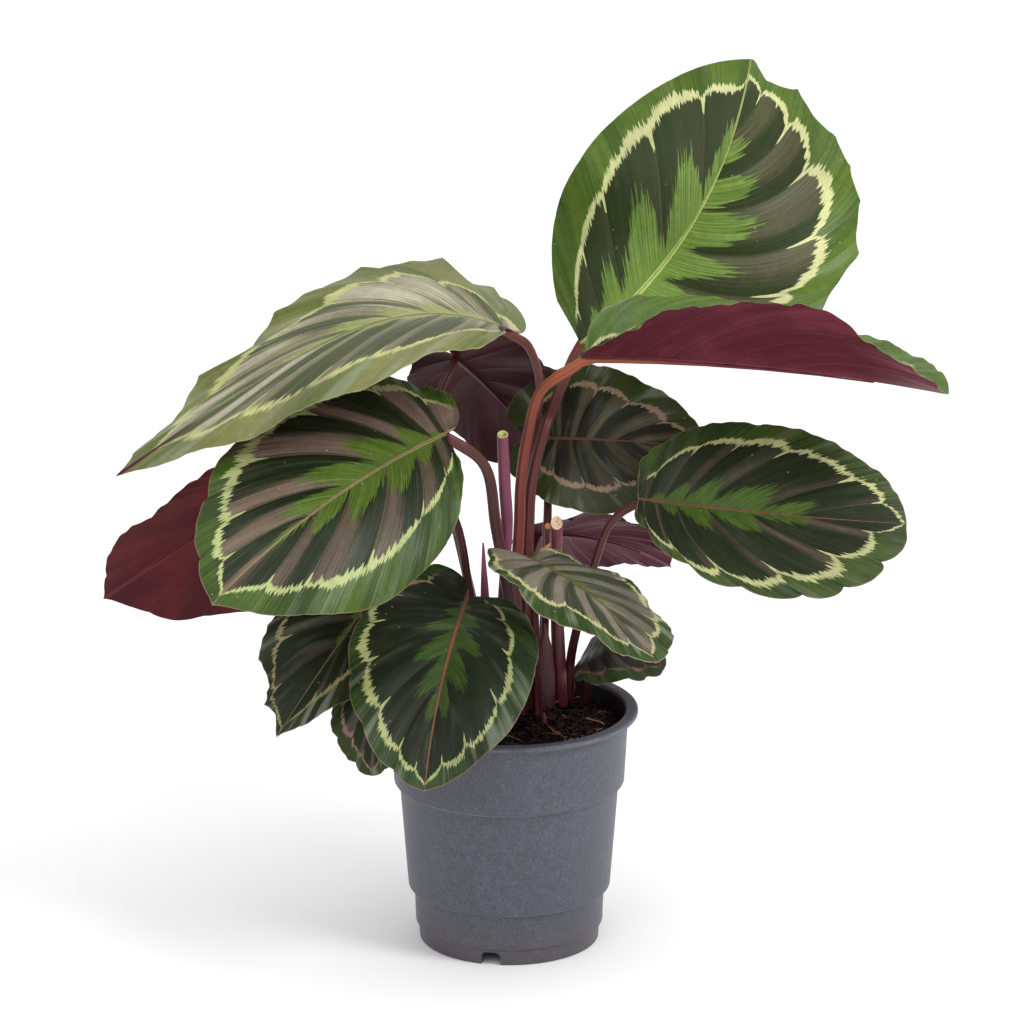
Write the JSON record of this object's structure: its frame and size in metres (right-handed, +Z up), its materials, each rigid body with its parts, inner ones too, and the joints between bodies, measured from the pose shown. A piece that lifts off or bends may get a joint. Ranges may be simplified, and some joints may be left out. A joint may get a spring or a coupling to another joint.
{
  "type": "potted houseplant",
  "caption": "Potted calathea with broad patterned leaves on slender stems, rooted in dark soil in a tapered plastic nursery pot.",
  "frame": {"origin": "centre of the pot's underside, on the surface it stands on", "axes": "+Z up along the pot's axis, -Y towards the side the leaves are seen from, +X to that viewer's right"},
  "size_m": [0.3878, 0.2212, 0.4027],
  "materials": {
    "pot_plastic": "matte grey recycled plastic with fine mottling",
    "peat": "rough dark potting soil",
    "leaf_upper": "satin leaf, green pattern above and purple below",
    "petiole_skin": "satin reddish-brown leaf stalk",
    "stub_skin": "satin magenta stem stub",
    "sheath_skin": "dull brown leaf sheath"
  },
  "bodies": {
    "root": {"leaf_back": "leaf_upper", "leaf_behind": "leaf_upper", "leaf_bottom_left": "leaf_upper", "leaf_far_left": "leaf_upper", "leaf_front": "leaf_upper", "leaf_left_big": "leaf_upper", "leaf_left_pale": "leaf_upper", "leaf_low_centre": "leaf_upper", "leaf_low_left": "leaf_upper", "leaf_low_right": "leaf_upper", "leaf_right": "leaf_upper", "leaf_right_folded": "leaf_upper", "leaf_small_front": "leaf_upper", "leaf_top": "leaf_upper", "petiole_back": "petiole_skin", "petiole_behind": "petiole_skin", "petiole_bottom_left": "petiole_skin", "petiole_far_left": "petiole_skin", "petiole_front": "petiole_skin", "petiole_left_big": "petiole_skin", "petiole_left_pale": "petiole_skin", "petiole_low_centre": "petiole_skin", "petiole_low_left": "petiole_skin", "petiole_low_right": "petiole_skin", "petiole_right": "petiole_skin", "petiole_right_folded": "petiole_skin", "petiole_small_front": "petiole_skin", "petiole_top": "petiole_skin", "pot": "pot_plastic", "sheath_dried": "sheath_skin", "sheath_magenta": "stub_skin", "sheath_pointed": "sheath_skin", "shoot": "stub_skin", "soil": "peat", "stub_cream": "stub_skin", "stub_pink": "stub_skin", "stub_thin": "stub_skin"}
  },
  "joints": []
}
